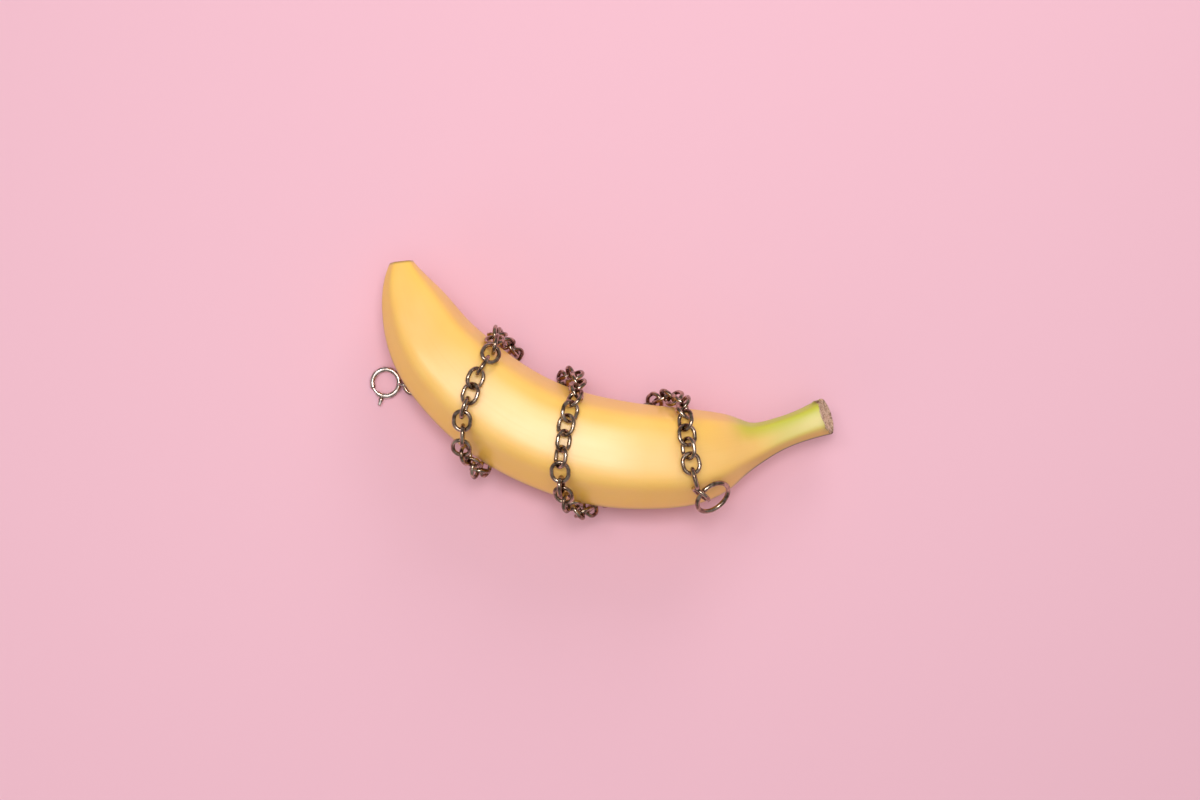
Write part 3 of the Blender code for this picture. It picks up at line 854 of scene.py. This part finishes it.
def chain(finish):
    """All the links in one mesh: round wire carried along each link's line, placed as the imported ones."""
    line, outwards = fine_wire_line()
    around = 2.0 * math.pi / WIRE_POINTS * np.arange(WIRE_POINTS)
    across = np.cos(around)[None, :, None] * outwards[:, None]
    across = across + np.sin(around)[None, :, None] * np.array([0.0, 0.0, 1.0])
    shape = (line[:, None] + WIRE / 2.0 * across).reshape(-1, 3)
    faces = grid_faces(LINK_POINTS, WIRE_POINTS, True)
    frames = link_frames()
    points = np.concatenate([shape @ placed[:3] + placed[3] for placed in frames])
    every = (faces[None] + len(shape) * np.arange(len(frames))[:, None, None]).reshape(-1, 4)
    nodes = [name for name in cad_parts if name.startswith("chain_run")]
    return piece("chain_links", points, every.tolist(), finish, "nickel", nodes)


def arc_tube(centre, first, normal, bend, start, sweep, wires, steps, sides):
    """Rings of points of a round tube along an arc; wires gives its radius along the arc.

    The arc's radius is bend. It starts at the angle start from first, and turns about normal by sweep.
    """
    turn = np.radians(start + sweep * np.linspace(0.0, 1.0, steps))[:, None]
    first = np.asarray(first, float)
    second = np.cross(normal, first)
    out = np.cos(turn) * first + np.sin(turn) * second
    around = 2.0 * math.pi / sides * np.arange(sides)[None, :, None]
    radii = np.interp(np.linspace(0.0, 1.0, steps), np.linspace(0.0, 1.0, len(wires)), wires)[:, None, None]
    across = np.cos(around) * out[:, None] + np.sin(around) * np.asarray(normal, float)
    return np.asarray(centre, float) + bend * out[:, None] + radii * across


def ring_piece(name, rings, finish, nodes):
    """A closed ring from rings of points; its last ring of points repeats the first and is dropped."""
    rings = rings[:-1]
    faces = grid_faces(rings.shape[0], rings.shape[1], True).tolist()
    return piece(name, rings.reshape(-1, 3), faces, finish, "nickel", nodes)


def flat_direction(degrees):
    """Direction at an angle on the surface."""
    return np.array([math.cos(math.radians(degrees)), math.sin(math.radians(degrees)), 0.0])


def clasp(finish):
    """Spring-ring clasp: tube with rolled ends, the spring bolt in its opening, lug and thumb trigger."""
    up = (0.0, 0.0, 1.0)
    right = (1.0, 0.0, 0.0)
    centre = np.array([*CLASP_CENTRE, CLASP_TUBE])
    low, high = CLASP_OPENING
    rolled_end = ROLLED_SHARE * CLASP_TUBE
    wires = [rolled_end, *[CLASP_TUBE] * ROLLED_STEPS, rolled_end]
    tube = arc_tube(centre, right, up, CLASP_RADIUS, high, 360.0 - (high - low), wires,
                    TUBE_RINGS, TUBE_POINTS)
    piece("clasp_tube", *capped(tube), finish, "nickel", ["clasp_ring"])
    clear = math.degrees(BOLT_GAP / CLASP_RADIUS)
    bolt = arc_tube(centre, right, up, CLASP_RADIUS, low + clear, high - low - 2.0 * clear,
                    [TONGUE_WIRE], BOLT_RINGS, BOLT_POINTS)
    piece("clasp_bolt", *capped(bolt), finish, "nickel", ["clasp_tongue"])
    reach = flat_direction(LUG_ANGLE)
    lug_centre = np.array([*CLASP_CENTRE, LUG_HEIGHT]) + LUG_REACH * reach
    lug = arc_tube(lug_centre, reach, np.cross(reach, up), LUG_RADIUS, 0.0, 360.0, [LUG_WIRE],
                   LUG_RINGS, LUG_POINTS)
    ring_piece("clasp_lug", lug, finish, [])
    out = flat_direction(TRIGGER_ANGLE)
    around = 2.0 * math.pi / KNOB_POINTS * np.arange(KNOB_POINTS)[:, None]
    circle = np.cos(around) * np.array(up) + np.sin(around) * np.cross(up, out)
    start = centre + (CLASP_RADIUS + CLASP_TUBE + GAP) * out
    knob = np.array([start + distance * out + radius * circle for distance, radius in KNOB_PROFILE])
    piece("clasp_trigger_knob", *capped(knob), finish, "nickel", ["clasp_trigger"])


def end_ring(finish):
    """Plain round ring at the chain's other end, leaning on the fruit."""
    tilt = math.radians(END_RING_TILT)
    bearing = flat_direction(END_RING_BEARING)
    first = math.cos(tilt) * bearing - math.sin(tilt) * np.array([0.0, 0.0, 1.0])
    normal = math.sin(tilt) * bearing + math.cos(tilt) * np.array([0.0, 0.0, 1.0])
    rings = arc_tube(END_RING_CENTRE, first, normal, END_RING_RADIUS, 0.0, 360.0, [END_RING_WIRE],
                     END_RING_RINGS, END_RING_POINTS)
    return ring_piece("plain_end_ring", rings, finish, ["end_ring"])


def floor():
    """Plain pale pink paper, uncoated and so nearly matt, far wider than the view."""
    made, _, shader = new_material("pale_pink_paper")
    shader.inputs["Base Color"].default_value = linear(FLOOR_PINK)
    shader.inputs["Roughness"].default_value = PAPER_ROUGHNESS
    shader.inputs["Specular IOR Level"].default_value = PAPER_SHEEN
    mesh = bpy.data.meshes.new("paper")
    corners = [(PAPER_HALF * x, PAPER_HALF * y, 0.0) for x, y in ((-1, -1), (1, -1), (1, 1), (-1, 1))]
    mesh.from_pydata(corners, [], [(0, 1, 2, 3)])
    mesh.materials.append(made)
    paper = bpy.data.objects.new("paper", mesh)
    bpy.context.scene.collection.objects.link(paper)


def soft_box(name, place, side, power, mirrored):
    """Square white soft box turned towards the object; glossy pieces show it only if mirrored."""
    lamp = bpy.data.lights.new(name, "AREA")
    lamp.shape = "SQUARE"
    lamp.size = side
    lamp.energy = power
    made = bpy.data.objects.new(name, lamp)
    bpy.context.scene.collection.objects.link(made)
    made.location = place
    made.visible_glossy = mirrored
    direction = Vector(LIGHT_AIM) - Vector(place)
    made.rotation_euler = direction.to_track_quat("-Z", "Y").to_euler()


def studio():
    """Four soft boxes, the white surroundings and the camera."""
    for box in SOFT_BOXES:
        soft_box(*box)
    world = bpy.data.worlds.new("studio")
    bpy.context.scene.world = world
    world.use_nodes = True
    tree = world.node_tree
    background = tree.nodes["Background"]
    background.inputs["Color"].default_value = linear(SKY_WHITE)
    direction = add(tree, "ShaderNodeTexCoord").outputs["Generated"]
    skywards = add(tree, "ShaderNodeSeparateXYZ", {"Vector": direction}).outputs["Z"]
    strength = add(tree, "ShaderNodeMapRange", {
        "Value": skywards, "From Min": SKY_RISE[0], "From Max": SKY_RISE[1],
        "To Min": SKY_LOW, "To Max": SKY_HIGH}).outputs[0]
    tree.links.new(strength, background.inputs["Strength"])
    lens = bpy.data.cameras.new("camera")
    lens.lens = CAMERA_LENS
    lens.sensor_width = CAMERA_SENSOR
    camera = bpy.data.objects.new("camera", lens)
    camera.location = (ROW_SHIFT[0] * METRES, ROW_SHIFT[1] * METRES, CAMERA_HEIGHT * METRES)
    bpy.context.scene.collection.objects.link(camera)
    bpy.context.scene.camera = camera
    bpy.context.scene.view_settings.view_transform = "Standard"


black_nickel = nickel_plate_material("black_nickel_plate", NICKEL_DARK, NICKEL_LIGHT)
peel(banana_peel_material())
chain(black_nickel)
clasp(nickel_plate_material("bright_nickel_plate", CLASP_DARK, CLASP_LIGHT))
end_ring(black_nickel)
floor()
studio()
